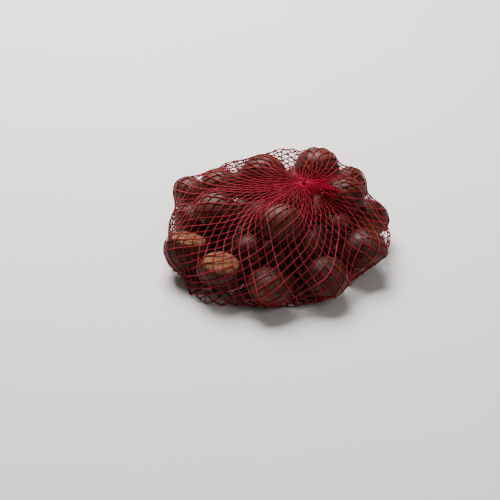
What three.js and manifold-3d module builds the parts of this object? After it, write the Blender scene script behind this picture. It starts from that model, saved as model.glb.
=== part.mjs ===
// Net bag of chestnuts, lying on its base.
// One knotted tube net is gathered below and at the crown, and is drawn tight over a heap of
// nuts. The net is worked out as a lattice of knots that shrinks onto the nuts, and the solid is
// the skin through those knots, with one facet group for each cell of the net.
// Millimetres, +Z up, +X across the wide side. The origin is on the floor under the middle.

import * as THREE from 'three';
import { mergeVertices } from 'three/addons/utils/BufferGeometryUtils.js';
import Module from 'manifold-3d';

const wasm = await Module();
wasm.setup();

// Net
const CELLS_ROUND = 56;
const CELL_SIDE = 6.2;
const STRAND_RADIUS = 0.36;
const NET_OVER_NUT = 0.5;
const SKIN_OVER_KNOTS = 0.5;
const CROWN = [16, 14, 55];
const CROWN_RADIUS = 3.2;
const BASE_GATHER = [-42, -3, STRAND_RADIUS];
const BASE_GATHER_RADIUS = 3.0;

// Rough form that the net starts from, before it shrinks
const BAG_HALF_WIDTH = 80;
const BAG_HALF_DEPTH = 76;
const BAG_WIDEST_HEIGHT = 18;
const START_SPREAD = 1.15;
const START_BACK = 6;
const START_TWIST = 0.55;
const DOME_POWER = 0.8;
const UNDER_POWER = 0.6;

// Places where the slack net stands off the nuts: the foot all round and its left front corner,
// two at the back, and one at each end
const SLACK = [
  { at: [-7, 1, 4], halves: [71, 61, 8] },
  { at: [-38, -33, 3], halves: [27, 24, 7] },
  { at: [6, 57, 39], halves: [22, 13, 14] },
  { at: [-31, 52, 32], halves: [14, 12, 13] },
  { at: [-63, 6, 18], halves: [14.5, 34, 15] },
  { at: [63, 3, 18], halves: [15, 20, 14] },
];

// Shrinking of the net onto the nuts
const SHRINK_ROUNDS = 320;
const SHRINK_SHARE = 0.16;
const LENGTH_ROUNDS = 2;
const SLACK_STIFFNESS = 0.12;
const LENGTH_SHARE = 1.6;
const SLACK_STEP = 1.0;

// Pits of the cells
const PIT_MOST = 6.0;
const BULGE_MOST = 0.9;
const NUT_SKIN = 0.2;
const NARROWEST_PIT_CELL = 3.2;
const FLOOR_SNAP = 1.3;

// Tail of the net beyond the crown, which lies over to the right
const TAIL_PATH = [[16, 14, 50], [17, 14, 55.5], [21, 13.3, 57], [27, 12.5, 57], [34, 11.5, 56], [41, 10.5, 54]];
const TAIL_HALF_WIDTHS = [2.6, 3.0, 4.0, 5.2, 5.6, 2.8];
const TAIL_FLATNESS = 0.6;
const TAIL_FLUTES = 7;
const TAIL_FLUTE_DEPTH = 0.16;
const TAIL_SIDES = 28;
const TAIL_STATIONS = 10;

// Nut of unit size, 34 mm across
const NUT_WIDTH = 34;
const NUT_HALF_WIDTH = 17;
const NUT_ROUND_SIDE = 13.5;
const NUT_FLAT_SIDE = 11.5;
const NUT_TIP_REACH = 16;
const NUT_BASE_REACH = 14;
const NUT_BASE_CUT = 11.5;
const NUT_BASE_BLEND = 2.0;
const NUT_BEAK = 3.0;
const NUT_BEAK_ANGLE = 0.22;
const NUT_GAP = 0.3;
const NUT_FLOOR = STRAND_RADIUS + NET_OVER_NUT;
const SETTLE_ROUNDS = 120;

// Each nut: centre x, y, z, width, bearing of its tip, lift of its tip, roll about its own axis
const NUTS = [
  // Floor layer, outer ring, from the left round the front
  { at: [-62, -21, 20], width: 34, bearing: 250, lift: -80, roll: 0 },
  { at: [-41, -42, 20], width: 34, bearing: 90, lift: -72, roll: 12 },
  { at: [-7, -52, 15], width: 33, bearing: 250, lift: 10, roll: 0 },
  { at: [29, -40, 17], width: 34, bearing: 290, lift: -10, roll: 0 },
  { at: [57, -11, 18], width: 35, bearing: 330, lift: 10, roll: 0 },
  { at: [60, 24, 17], width: 33, bearing: 80, lift: 10, roll: 0 },
  { at: [50, 62, 18], width: 34, bearing: 50, lift: 5, roll: 90 },
  { at: [18, 70, 16], width: 33, bearing: 90, lift: 10, roll: 0 },
  { at: [-18, 67, 16], width: 33, bearing: 110, lift: 10, roll: 0 },
  { at: [-61, 45, 19], width: 34, bearing: 130, lift: 10, roll: 60 },
  { at: [-62, 13, 18], width: 33, bearing: 120, lift: 30, roll: 80 },
  // Floor layer, inside the ring
  { at: [-32, -8, 15], width: 32, bearing: 0, lift: 70, roll: 0 },
  { at: [-3, -19, 15], width: 32, bearing: 0, lift: 70, roll: 0 },
  { at: [25, -3, 15], width: 32, bearing: 0, lift: 70, roll: 0 },
  { at: [25, 34, 15], width: 32, bearing: 0, lift: 70, roll: 0 },
  { at: [-8, 34, 15], width: 32, bearing: 0, lift: 70, roll: 0 },
  { at: [-34, 26, 15], width: 32, bearing: 0, lift: 70, roll: 0 },
  // Smaller nuts in the gaps
  { at: [-14, 8, 26], width: 29, bearing: 40, lift: 75, roll: 0 },
  { at: [39, 12, 11], width: 24, bearing: 100, lift: 15, roll: 0 },
  { at: [15, -25, 24], width: 24, bearing: 0, lift: 20, roll: 60 },
  { at: [-21, -27, 26], width: 24, bearing: 90, lift: 30, roll: 0 },
  // Upper layer
  { at: [-43, 3, 37], width: 34, bearing: 200, lift: 15, roll: 0 },
  { at: [-39, 35, 30], width: 31, bearing: 120, lift: 15, roll: 0 },
  { at: [1, -19, 41], width: 35, bearing: 262, lift: 5, roll: 0 },
  { at: [44, 23, 38], width: 33, bearing: 20, lift: 10, roll: 0 },
  { at: [27, 56, 40], width: 33, bearing: 60, lift: 10, roll: 0 },
  { at: [-13, 42, 41], width: 34, bearing: 100, lift: 10, roll: 0 },
  { at: [12, 14, 38], width: 31, bearing: 0, lift: 60, roll: 0 },
];

// Smaller of two values, with a soft corner between them
function softMin(a, b, blend) {
  const share = THREE.MathUtils.clamp(0.5 + (0.5 * (b - a)) / blend, 0, 1);
  return b * (1 - share) + a * share - blend * share * (1 - share);
}

// Axes of a nut: its width, its thickness and the way its tip points
function nutAxes({ bearing, lift, roll }) {
  const turn = THREE.MathUtils.degToRad(bearing);
  const rise = THREE.MathUtils.degToRad(lift);
  const tip = new THREE.Vector3(
    Math.cos(rise) * Math.cos(turn),
    Math.cos(rise) * Math.sin(turn),
    Math.sin(rise),
  );
  const level = new THREE.Vector3(-Math.sin(turn), Math.cos(turn), 0);
  const across = level.clone().applyAxisAngle(tip, THREE.MathUtils.degToRad(roll));
  const through = new THREE.Vector3().crossVectors(tip, across);
  return { across, through, tip };
}

// Distance from a nut's centre to its skin, along a unit direction in the nut's own axes
function nutReach(dx, dy, dz, size) {
  const thick = dy > 0 ? NUT_ROUND_SIDE : NUT_FLAT_SIDE;
  const tall = dz > 0 ? NUT_TIP_REACH : NUT_BASE_REACH;
  const round = 1 / Math.hypot(dx / NUT_HALF_WIDTH, dy / thick, dz / tall);
  const cut = NUT_BASE_CUT / Math.max(-dz, 1e-3);
  const angle = Math.acos(THREE.MathUtils.clamp(dz, -1, 1));
  const beak = NUT_BEAK * Math.exp(-((angle / NUT_BEAK_ANGLE) ** 2));
  return size * (softMin(round, cut, NUT_BASE_BLEND) + beak);
}

// Reach of a placed nut along a unit direction in the bag's axes
function reachAlong(nut, x, y, z) {
  const { across, through, tip } = nut.axes;
  const dx = x * across.x + y * across.y + z * across.z;
  const dy = x * through.x + y * through.y + z * through.z;
  const dz = x * tip.x + y * tip.y + z * tip.z;
  return nutReach(dx, dy, dz, nut.size);
}

// Depth of a nut's lowest point below its centre
function lowestReach(nut) {
  let lowest = 0;
  for (let ring = 0; ring <= 6; ring += 1) {
    const slant = ring * 0.2;
    for (let step = 0; step < 24; step += 1) {
      const turn = (step * Math.PI) / 12;
      const level = Math.sin(slant);
      const reach = reachAlong(nut, level * Math.cos(turn), level * Math.sin(turn), -Math.cos(slant));
      lowest = Math.max(lowest, reach * Math.cos(slant));
    }
  }
  return lowest;
}

// Moves two nuts apart by the depth that they share
function pushApart(a, b) {
  const between = new THREE.Vector3().subVectors(b.centre, a.centre);
  const distance = between.length();
  if (distance > 1.3 * NUT_WIDTH) {
    return;
  }
  const { x, y, z } = between.normalize();
  const needed = reachAlong(a, x, y, z) + reachAlong(b, -x, -y, -z) + NUT_GAP;
  if (distance < needed) {
    a.centre.addScaledVector(between, (distance - needed) / 2);
    b.centre.addScaledVector(between, (needed - distance) / 2);
  }
}

// Nuts where they come to lie, clear of each other and of the floor
function settledNuts() {
  const nuts = NUTS.map((nut) => ({
    centre: new THREE.Vector3(...nut.at),
    axes: nutAxes(nut),
    size: nut.width / NUT_WIDTH,
  }));
  const floors = nuts.map((nut) => lowestReach(nut) + NUT_FLOOR);
  for (let round = 0; round < SETTLE_ROUNDS; round += 1) {
    for (let first = 0; first < nuts.length; first += 1) {
      for (let second = first + 1; second < nuts.length; second += 1) {
        pushApart(nuts[first], nuts[second]);
      }
    }
    nuts.forEach((nut, index) => {
      nut.centre.z = Math.max(nut.centre.z, floors[index]);
    });
  }
  return nuts;
}

// Half of the bag's upright section, from the crown to the middle of the base
function roughSection(share) {
  const angle = (0.5 - share) * Math.PI;
  const radius = Math.max(Math.cos(angle), 0) ** DOME_POWER;
  if (angle > 0) {
    const rise = CROWN[2] - BAG_WIDEST_HEIGHT;
    return { radius, height: BAG_WIDEST_HEIGHT + rise * Math.sin(angle) };
  }
  const drop = BAG_WIDEST_HEIGHT - STRAND_RADIUS;
  return { radius, height: BAG_WIDEST_HEIGHT - drop * Math.abs(Math.sin(angle)) ** UNDER_POWER };
}

// Rows of knots down the section, spaced so that every cell side has its true length
function sectionRows() {
  const steps = 2000;
  const rows = [];
  let previous = roughSection(0);
  let travelled = 0;
  let next = 0;
  for (let step = 1; step <= steps; step += 1) {
    const here = roughSection(step / steps);
    const run = (here.radius - previous.radius) * BAG_HALF_DEPTH;
    travelled += Math.hypot(run, here.height - previous.height);
    const radius = here.radius * BAG_HALF_DEPTH;
    const gathered = step < steps / 2 ? radius < CROWN_RADIUS : radius < BASE_GATHER_RADIUS;
    if (!gathered && travelled >= next) {
      const sideways = Math.min((Math.PI * radius) / CELLS_ROUND, 0.95 * CELL_SIDE);
      rows.push(here);
      next = travelled + Math.sqrt(CELL_SIDE ** 2 - sideways ** 2);
    }
    previous = here;
  }
  return rows;
}

// Knots of the net on the rough form, row by row, every other row turned by half a cell, with the
// twist that the tube takes from the crown down
function roughKnots(rows) {
  const knots = [];
  rows.forEach(({ radius, height }, row) => {
    const gather = row < rows.length / 2 ? CROWN : BASE_GATHER;
    for (let column = 0; column < CELLS_ROUND; column += 1) {
      const twist = (START_TWIST * row) / (rows.length - 1);
      const turn = (2 * Math.PI * (column + 0.5 * (row % 2))) / CELLS_ROUND + twist;
      knots.push(new THREE.Vector3(
        (1 - radius) * gather[0] + radius * START_SPREAD * BAG_HALF_WIDTH * Math.cos(turn),
        (1 - radius) * gather[1] + radius * (START_BACK + START_SPREAD * BAG_HALF_DEPTH * Math.sin(turn)),
        height,
      ));
    }
  });
  return knots;
}

const knotIndex = (row, column) => row * CELLS_ROUND + ((column + CELLS_ROUND) % CELLS_ROUND);

// Pairs of knots that a strand joins
function strandPairs(rowCount) {
  const pairs = [];
  for (let row = 0; row < rowCount - 1; row += 1) {
    const shift = row % 2 === 0 ? -1 : 1;
    for (let column = 0; column < CELLS_ROUND; column += 1) {
      pairs.push([knotIndex(row, column), knotIndex(row + 1, column)]);
      pairs.push([knotIndex(row, column), knotIndex(row + 1, column + shift)]);
    }
  }
  return pairs;
}

// Lifts a point out of the nuts, out to the slack and off the floor
function clearOfNuts(point, nuts) {
  const offset = new THREE.Vector3();
  nuts.forEach((nut) => {
    offset.subVectors(point, nut.centre);
    const distance = offset.length();
    if (distance < 0.8 * NUT_WIDTH) {
      const { x, y, z } = offset.divideScalar(distance);
      const needed = reachAlong(nut, x, y, z) + NET_OVER_NUT;
      if (distance < needed) {
        point.addScaledVector(offset, needed - distance);
      }
    }
  });
  SLACK.forEach(({ at, halves }) => {
    const [x, y, z] = [point.x - at[0], point.y - at[1], point.z - at[2]];
    const depth = 1 - (x / halves[0]) ** 2 - (y / halves[1]) ** 2 - (z / halves[2]) ** 2;
    if (depth > 0) {
      const outward = new THREE.Vector3(x / halves[0] ** 2, y / halves[1] ** 2, z / halves[2] ** 2);
      const steepness = outward.length();
      point.addScaledVector(outward, Math.min(depth / (2 * steepness), SLACK_STEP) / steepness);
    }
  });
  point.z = Math.max(point.z, STRAND_RADIUS);
}

// Draws every knot towards the middle of its neighbours
function drawTogether(knots, pairs, counts, held) {
  const sums = knots.map(() => new THREE.Vector3());
  pairs.forEach(([a, b]) => {
    sums[a].add(knots[b]);
    sums[b].add(knots[a]);
  });
  knots.forEach((knot, index) => {
    if (!held[index]) {
      knot.lerp(sums[index].divideScalar(counts[index]), SHRINK_SHARE);
    }
  });
}

// Brings the strands back to their length, firmly where stretched and softly where slack
function keepLengths(knots, pairs, counts, held) {
  const moves = knots.map(() => new THREE.Vector3());
  const along = new THREE.Vector3();
  pairs.forEach(([a, b]) => {
    along.subVectors(knots[b], knots[a]);
    const length = along.length();
    const excess = (length - CELL_SIDE) / length;
    along.multiplyScalar(0.5 * excess * (excess < 0 ? SLACK_STIFFNESS : 1));
    moves[a].add(along);
    moves[b].sub(along);
  });
  knots.forEach((knot, index) => {
    if (!held[index]) {
      knot.addScaledVector(moves[index], LENGTH_SHARE / counts[index]);
    }
  });
}

// Net drawn tight over the nuts
function shrunkNet(nuts) {
  const rows = sectionRows();
  const knots = roughKnots(rows);
  const pairs = strandPairs(rows.length);
  const counts = knots.map(() => 0);
  pairs.forEach(([a, b]) => {
    counts[a] += 1;
    counts[b] += 1;
  });
  const lastRow = (rows.length - 1) * CELLS_ROUND;
  const held = knots.map((knot, index) => index < CELLS_ROUND || index >= lastRow);
  for (let round = 0; round < SHRINK_ROUNDS; round += 1) {
    drawTogether(knots, pairs, counts, held);
    for (let repeat = 0; repeat < LENGTH_ROUNDS; repeat += 1) {
      keepLengths(knots, pairs, counts, held);
    }
    knots.forEach((knot, index) => {
      if (!held[index]) {
        clearOfNuts(knot, nuts);
      }
    });
  }
  knots.forEach((knot) => {
    if (knot.z < FLOOR_SNAP) {
      knot.z = STRAND_RADIUS;
    }
  });
  return { knots, rowCount: rows.length };
}

// Outward direction of the skin at a cell, from its two diagonals
function cellNormal(top, right, bottom, left) {
  const down = new THREE.Vector3().subVectors(bottom, top);
  const over = new THREE.Vector3().subVectors(right, left);
  return down.cross(over).normalize();
}

// Four knots of a cell: its top, right, bottom and left
function cellCorners(row, column) {
  const shift = row % 2 === 0 ? -1 : 0;
  return [
    knotIndex(row, column),
    knotIndex(row + 1, column + shift + 1),
    knotIndex(row + 2, column),
    knotIndex(row + 1, column + shift),
  ];
}

// Height of the contents above a cell's middle, negative where they lie deeper
function contentsAbove(middle, normal, nuts) {
  const probe = new THREE.Vector3();
  const offset = new THREE.Vector3();
  for (let depth = -BULGE_MOST; depth < PIT_MOST; depth += 0.2) {
    probe.copy(middle).addScaledVector(normal, -depth);
    const inside = nuts.some((nut) => {
      offset.subVectors(probe, nut.centre);
      const distance = offset.length();
      if (distance > NUT_WIDTH) {
        return false;
      }
      const { x, y, z } = offset.divideScalar(distance);
      return distance < reachAlong(nut, x, y, z) + NUT_SKIN;
    });
    if (inside) {
      return -depth;
    }
  }
  return -PIT_MOST;
}

// Skin through the knots, moved out to the outside of the strands, with a pit or a bulge in
// each cell down to the nut below it
function skinMesh({ knots, rowCount }, nuts) {
  const normals = knots.map(() => new THREE.Vector3());
  const cells = [];
  for (let row = 0; row < rowCount - 2; row += 1) {
    for (let column = 0; column < CELLS_ROUND; column += 1) {
      const corners = cellCorners(row, column);
      const normal = cellNormal(...corners.map((index) => knots[index]));
      corners.forEach((index) => normals[index].add(normal));
      cells.push({ corners, normal });
    }
  }
  const points = knots.map((knot, index) => {
    return knot.clone().addScaledVector(normals[index].normalize(), SKIN_OVER_KNOTS);
  });
  const triangles = [];
  cells.forEach(({ corners, normal }) => {
    const [top, right, bottom, left] = corners.map((index) => points[index]);
    const middle = new THREE.Vector3().add(top).add(right).add(bottom).add(left).divideScalar(4);
    const narrow = right.distanceTo(left) < NARROWEST_PIT_CELL;
    const underneath = middle.z < FLOOR_SNAP;
    if (!narrow && !underneath) {
      middle.addScaledVector(normal, contentsAbove(middle, normal, nuts));
    }
    const apex = points.push(middle) - 1;
    corners.forEach((index, side) => {
      triangles.push([index, apex, corners[(side + 1) % 4]]);
    });
  });
  closeEnd(points, triangles, 0, 1);
  closeEnd(points, triangles, rowCount - 1, -1);
  return { points, triangles };
}

// Closes the opening that the first or the last row of knots leaves, with a fan
function closeEnd(points, triangles, row, side) {
  const middle = new THREE.Vector3();
  for (let column = 0; column < CELLS_ROUND; column += 1) {
    middle.addScaledVector(points[knotIndex(row, column)], 1 / CELLS_ROUND);
  }
  const hub = points.push(middle) - 1;
  const inner = row + side;
  const shift = row % 2 === 0 ? -1 : 0;
  for (let column = 0; column < CELLS_ROUND; column += 1) {
    const here = knotIndex(row, column);
    const next = knotIndex(row, column + 1);
    const between = knotIndex(inner, column + shift + 1);
    triangles.push(side > 0 ? [here, between, next] : [here, next, between]);
    triangles.push(side > 0 ? [here, next, hub] : [next, here, hub]);
  }
}

// Solid for joining and cutting, from points and triangles
function solidOf({ points, triangles }) {
  const vertProperties = new Float32Array(points.flatMap((point) => [point.x, point.y, point.z]));
  const triVerts = new Uint32Array(triangles.flat());
  return new wasm.Manifold(new wasm.Mesh({ numProp: 3, vertProperties, triVerts }));
}

// Solid from a closed three.js geometry
function solidOfGeometry(geometry) {
  geometry.deleteAttribute('normal');
  geometry.deleteAttribute('uv');
  const merged = mergeVertices(geometry, 1e-4);
  return new wasm.Manifold(new wasm.Mesh({
    numProp: 3,
    vertProperties: new Float32Array(merged.getAttribute('position').array),
    triVerts: new Uint32Array(merged.getIndex().array),
  }));
}

// Half-width of the tail at a share of its length
function tailHalfWidth(share) {
  const place = share * (TAIL_HALF_WIDTHS.length - 1);
  const step = Math.min(Math.floor(place), TAIL_HALF_WIDTHS.length - 2);
  return THREE.MathUtils.lerp(TAIL_HALF_WIDTHS[step], TAIL_HALF_WIDTHS[step + 1], place - step);
}

// Flat fluted tail that the gathered strands make beyond the crown
function tailMesh() {
  const path = new THREE.CatmullRomCurve3(TAIL_PATH.map((point) => new THREE.Vector3(...point)));
  const points = [];
  const triangles = [];
  for (let station = 0; station <= TAIL_STATIONS; station += 1) {
    const share = station / TAIL_STATIONS;
    const centre = path.getPoint(share);
    const ahead = path.getTangent(share);
    const wide = new THREE.Vector3(-0.15, 1, 0).cross(ahead).cross(ahead).negate().normalize();
    const high = new THREE.Vector3().crossVectors(ahead, wide);
    for (let side = 0; side < TAIL_SIDES; side += 1) {
      const turn = (2 * Math.PI * side) / TAIL_SIDES;
      const flute = 1 + TAIL_FLUTE_DEPTH * Math.cos(TAIL_FLUTES * turn + station);
      const reach = tailHalfWidth(share) * flute;
      points.push(centre.clone()
        .addScaledVector(wide, reach * Math.cos(turn))
        .addScaledVector(high, reach * TAIL_FLATNESS * Math.sin(turn)));
    }
  }
  for (let station = 0; station < TAIL_STATIONS; station += 1) {
    for (let side = 0; side < TAIL_SIDES; side += 1) {
      const next = (side + 1) % TAIL_SIDES;
      const low = station * TAIL_SIDES;
      const high = low + TAIL_SIDES;
      triangles.push([low + side, low + next, high + next], [low + side, high + next, high + side]);
    }
  }
  const last = TAIL_STATIONS * TAIL_SIDES;
  const start = points.push(new THREE.Vector3(...TAIL_PATH[0])) - 1;
  const end = points.push(new THREE.Vector3(...TAIL_PATH.at(-1))) - 1;
  for (let side = 0; side < TAIL_SIDES; side += 1) {
    const next = (side + 1) % TAIL_SIDES;
    triangles.push([start, next, side], [end, last + side, last + next]);
  }
  return { points, triangles };
}

// Whole bag: the skin with its tail, cut level where it rests and centred over the origin
function bagGeometry() {
  const nuts = settledNuts();
  const skin = solidOf(skinMesh(shrunkNet(nuts), nuts));
  const tail = solidOf(tailMesh());
  const room = 3 * BAG_HALF_WIDTH;
  const aboveFloor = new THREE.BoxGeometry(room, room, room);
  aboveFloor.translate(0, 0, room / 2);
  const whole = skin.add(tail).intersect(solidOfGeometry(aboveFloor)).getMesh();
  const geometry = new THREE.BufferGeometry();
  geometry.setAttribute('position', new THREE.BufferAttribute(new Float32Array(whole.vertProperties), 3));
  geometry.setIndex(new THREE.BufferAttribute(new Uint32Array(whole.triVerts), 1));
  geometry.computeVertexNormals();
  const middle = new THREE.Box3().setFromBufferAttribute(geometry.getAttribute('position'))
    .getCenter(new THREE.Vector3());
  geometry.translate(-middle.x, -middle.y, 0);
  return geometry;
}

const netRed = new THREE.MeshStandardMaterial({ color: 0x8e2238, roughness: 0.6, metalness: 0 });

const bag = new THREE.Mesh(bagGeometry(), netRed);
bag.name = 'netted_chestnuts';

const group = new THREE.Group();
group.name = 'net_bag_of_chestnuts';
group.add(bag);

export default group;
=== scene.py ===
"""Net bag of chestnuts: the looks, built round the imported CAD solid.

The nuts are laid out and settled first. A lattice of knots then shrinks onto them, by the same steps
and from the same sizes as the solid, and real strands of yarn are run through the knots.
Layout and net are worked out in millimetres, and meshes are made in metres.
"""
import logging
import math
from dataclasses import dataclass, field
from enum import Enum
from typing import Optional, Sequence

import bmesh
import bpy
import numpy as np
from mathutils import Matrix, Vector


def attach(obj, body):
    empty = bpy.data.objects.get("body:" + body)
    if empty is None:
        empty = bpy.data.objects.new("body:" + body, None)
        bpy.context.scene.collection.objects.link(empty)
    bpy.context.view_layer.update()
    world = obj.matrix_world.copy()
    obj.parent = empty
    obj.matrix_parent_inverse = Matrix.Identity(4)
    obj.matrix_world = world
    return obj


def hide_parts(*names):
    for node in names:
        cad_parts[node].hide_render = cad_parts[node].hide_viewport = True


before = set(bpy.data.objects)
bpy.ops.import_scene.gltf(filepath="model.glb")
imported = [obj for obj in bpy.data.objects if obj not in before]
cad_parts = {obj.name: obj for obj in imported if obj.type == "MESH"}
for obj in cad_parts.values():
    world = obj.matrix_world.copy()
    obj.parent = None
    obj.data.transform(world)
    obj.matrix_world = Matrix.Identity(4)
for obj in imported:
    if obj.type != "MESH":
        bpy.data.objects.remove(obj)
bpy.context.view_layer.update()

LOG = logging.getLogger("chestnut_bag")
MM = 0.001
NODE = "netted_chestnuts"
BODY = "root"
TINY = 1e-9
UP = np.array([0.0, 0.0, 1.0])

Triple = tuple[float, float, float]
Span = tuple[float, float]
Line = tuple[np.ndarray, np.ndarray]
Socket = bpy.types.NodeSocket


def unit(vectors: np.ndarray) -> np.ndarray:
    """Returns vectors of length one along the last axis."""
    return vectors / np.maximum(np.linalg.norm(vectors, axis=-1, keepdims=True), TINY)


def soft_min(a: np.ndarray, b: np.ndarray, blend: float) -> np.ndarray:
    """Smaller of two values, with a soft corner between them.

    Args:
        a: First values.
        b: Second values.
        blend: Width over which the two are blended.

    Returns:
        The blended smaller values.
    """
    share = np.clip(0.5 + 0.5 * (b - a) / blend, 0, 1)
    return b * (1 - share) + a * share - blend * share * (1 - share)


@dataclass(frozen=True)
class NutForm:
    """Form of a chestnut 34 mm across: its width along x, its thickness along y, its tip along +z."""

    width: float = 34.0
    round_side: float = 13.5
    flat_side: float = 11.5
    tip_reach: float = 16.0
    base_reach: float = 14.0
    base_cut: float = 11.5
    base_blend: float = 2.0
    least_drop: float = 0.001
    beak: float = 3.0
    beak_angle: float = 0.22

    @property
    def half_width(self) -> float:
        """Half of the nut's width."""
        return self.width / 2

    def reach(self, direction: np.ndarray) -> np.ndarray:
        """Distance from the centre to the shell.

        Args:
            direction: Unit directions in the nut's own axes, with x, y, z last.

        Returns:
            The distance along each direction, in millimetres.
        """
        x, y, z = direction[..., 0], direction[..., 1], direction[..., 2]
        thick = np.where(y > 0, self.round_side, self.flat_side)
        tall = np.where(z > 0, self.tip_reach, self.base_reach)
        round_part = 1 / np.sqrt((x / self.half_width) ** 2 + (y / thick) ** 2 + (z / tall) ** 2)
        cut = self.base_cut / np.maximum(-z, self.least_drop)
        angle = np.arccos(np.clip(z, -1, 1))
        beak = self.beak * np.exp(-((angle / self.beak_angle) ** 2))
        return soft_min(round_part, cut, self.base_blend) + beak


@dataclass
class Nut:
    """One nut in the bag: where it is, how wide it is and which way its tip points, in degrees."""

    at: Triple
    width: float
    bearing: float
    lift: float
    roll: float
    form: NutForm = field(default_factory=NutForm)

    def __post_init__(self) -> None:
        """Works out the nut's axes and its size."""
        self.centre = np.array(self.at, float)
        self.size = self.width / self.form.width
        turn, rise, roll = (math.radians(a) for a in (self.bearing, self.lift, self.roll))
        tip = np.array([math.cos(rise) * math.cos(turn), math.cos(rise) * math.sin(turn), math.sin(rise)])
        level = np.array([-math.sin(turn), math.cos(turn), 0.0])
        across = level * math.cos(roll) + np.cross(tip, level) * math.sin(roll)
        self.axes = np.stack([across, np.cross(tip, across), tip])

    def reach(self, direction: np.ndarray) -> np.ndarray:
        """Distance from the centre to the shell along unit directions in the bag's axes."""
        return self.size * self.form.reach(direction @ self.axes.T)

    def lowest_reach(self) -> float:
        """Depth of the nut's lowest point below its centre, the deepest along rings of directions.

        Returns:
            The depth, in millimetres.
        """
        rings, ring_step, spokes = 7, 0.2, 24
        slant = np.repeat(np.arange(rings) * ring_step, spokes)
        turn = np.tile(np.arange(spokes) * math.pi / (spokes / 2), rings)
        level = np.sin(slant)
        directions = np.stack([level * np.cos(turn), level * np.sin(turn), -np.cos(slant)], 1)
        return float((self.reach(directions) * np.cos(slant)).max())


@dataclass
class NutLayout:
    """The nuts of the bag, where they come to lie."""

    gap: float = 0.3
    floor_gap: float = 0.86
    rounds: int = 120
    far_widths: float = 1.3
    upper_from: float = 25.0

    def __post_init__(self) -> None:
        """Places the nuts and lets the whole ones settle."""
        self.nuts = [
            # Floor layer, outer ring, from the left round the front
            Nut((-62, -21, 20), 34, 250, -80, 0),
            Nut((-41, -42, 20), 34, 90, -72, 12),
            Nut((-7, -52, 15), 33, 250, 10, 0),
            Nut((29, -40, 17), 34, 290, -10, 0),
            Nut((57, -11, 18), 35, 330, 10, 0),
            Nut((60, 24, 17), 33, 80, 10, 0),
            Nut((50, 62, 18), 34, 50, 5, 90),
            Nut((18, 70, 16), 33, 90, 10, 0),
            Nut((-18, 67, 16), 33, 110, 10, 0),
            Nut((-61, 45, 19), 34, 130, 10, 60),
            Nut((-62, 13, 18), 33, 120, 30, 80),
            # Floor layer, inside the ring
            Nut((-32, -8, 15), 32, 0, 70, 0),
            Nut((-3, -19, 15), 32, 0, 70, 0),
            Nut((25, -3, 15), 32, 0, 70, 0),
            Nut((25, 34, 15), 32, 0, 70, 0),
            Nut((-8, 34, 15), 32, 0, 70, 0),
            Nut((-34, 26, 15), 32, 0, 70, 0),
            # Smaller nuts in the gaps
            Nut((-14, 8, 26), 29, 40, 75, 0),
            Nut((39, 12, 11), 24, 100, 15, 0),
            Nut((15, -25, 24), 24, 0, 20, 60),
            Nut((-21, -27, 26), 24, 90, 30, 0),
            # Upper layer
            Nut((-43, 3, 37), 34, 200, 15, 0),
            Nut((-39, 35, 30), 31, 120, 15, 0),
            Nut((1, -19, 41), 35, 262, 5, 0),
            Nut((44, 23, 38), 33, 20, 10, 0),
            Nut((27, 56, 40), 33, 60, 10, 0),
            Nut((-13, 42, 41), 34, 100, 10, 0),
            Nut((12, 14, 38), 31, 0, 60, 0),
        ]
        self.settle()
        # Undersized nuts in the gaps and by the foot of the net, clear of the net and of the other nuts. They
        # are a painted shade: dark fillers that hide the pale floor where the bag's inside lies in shade.
        self.shade_filler_nuts = [
            Nut((0.6, 55.1, 16.9), 13, 30, 10, 0),
            Nut((-51.8, 30.7, 8.8), 13, 30, 20, 50),
            Nut((-25.7, 46.5, 10.2), 15, 80, 0, 40),
            Nut((-45.5, 6.8, 8.3), 12, 10, 20, 0),
            Nut((44.2, 41.6, 12.7), 16, 200, 15, 0),
            Nut((7.8, -37.9, 9.8), 15, 250, 30, 20),
            Nut((40.1, -1.9, 32.9), 17, 300, 20, 0),
            Nut((3.9, 11.4, 12.7), 20, 120, 10, 60),
            Nut((-40.3, 52.7, 15.5), 14, 60, 15, 0),
            Nut((-56.3, -3.9, 9.5), 14, 160, 0, 0),
            Nut((-20.9, -32.2, 9.5), 15, 270, 10, 30),
            Nut((40.8, -3.0, 8.6), 13, 330, 5, 0),
            Nut((-25.7, -51.2, 6.6), 11, 250, 20, 0),
            Nut((13.9, -49.3, 6.4), 10, 290, 0, 20),
            Nut((-56.6, -36.2, 5.9), 10, 215, 10, 0),
            Nut((49.1, -24.6, 6.6), 9, 320, 15, 0),
            Nut((-47.8, -4.0, 22.2), 11, 20, 20, 0),
            Nut((-20.4, -21.1, 7.2), 10, 80, 10, 0),
            Nut((11.6, -22.0, 7.2), 11, 140, 0, 30),
        ]

    def settle(self) -> None:
        """Moves the nuts apart, pair by pair along the line between their centres, and up off the floor."""
        floors = [nut.lowest_reach() + self.floor_gap for nut in self.nuts]
        for _ in range(self.rounds):
            for index, nut in enumerate(self.nuts):
                for other in self.nuts[index + 1:]:
                    self.push_apart(nut, other)
            for nut, floor in zip(self.nuts, floors):
                nut.centre[2] = max(nut.centre[2], floor)

    def push_apart(self, a: Nut, b: Nut) -> None:
        """Moves two nuts apart by the depth that they share on the line between their centres.

        Args:
            a: First nut.
            b: Second nut.
        """
        between = b.centre - a.centre
        distance = float(np.linalg.norm(between))
        if distance > self.far_widths * a.form.width:
            return
        between /= distance
        needed = float(a.reach(between) + b.reach(-between)) + self.gap
        if distance < needed:
            a.centre += between * (distance - needed) / 2
            b.centre += between * (needed - distance) / 2

    def layer(self, upper: bool) -> list[Nut]:
        """Nuts of the upper layer, or of the floor layer."""
        return [nut for nut in self.nuts if (nut.at[2] > self.upper_from) == upper]


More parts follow.
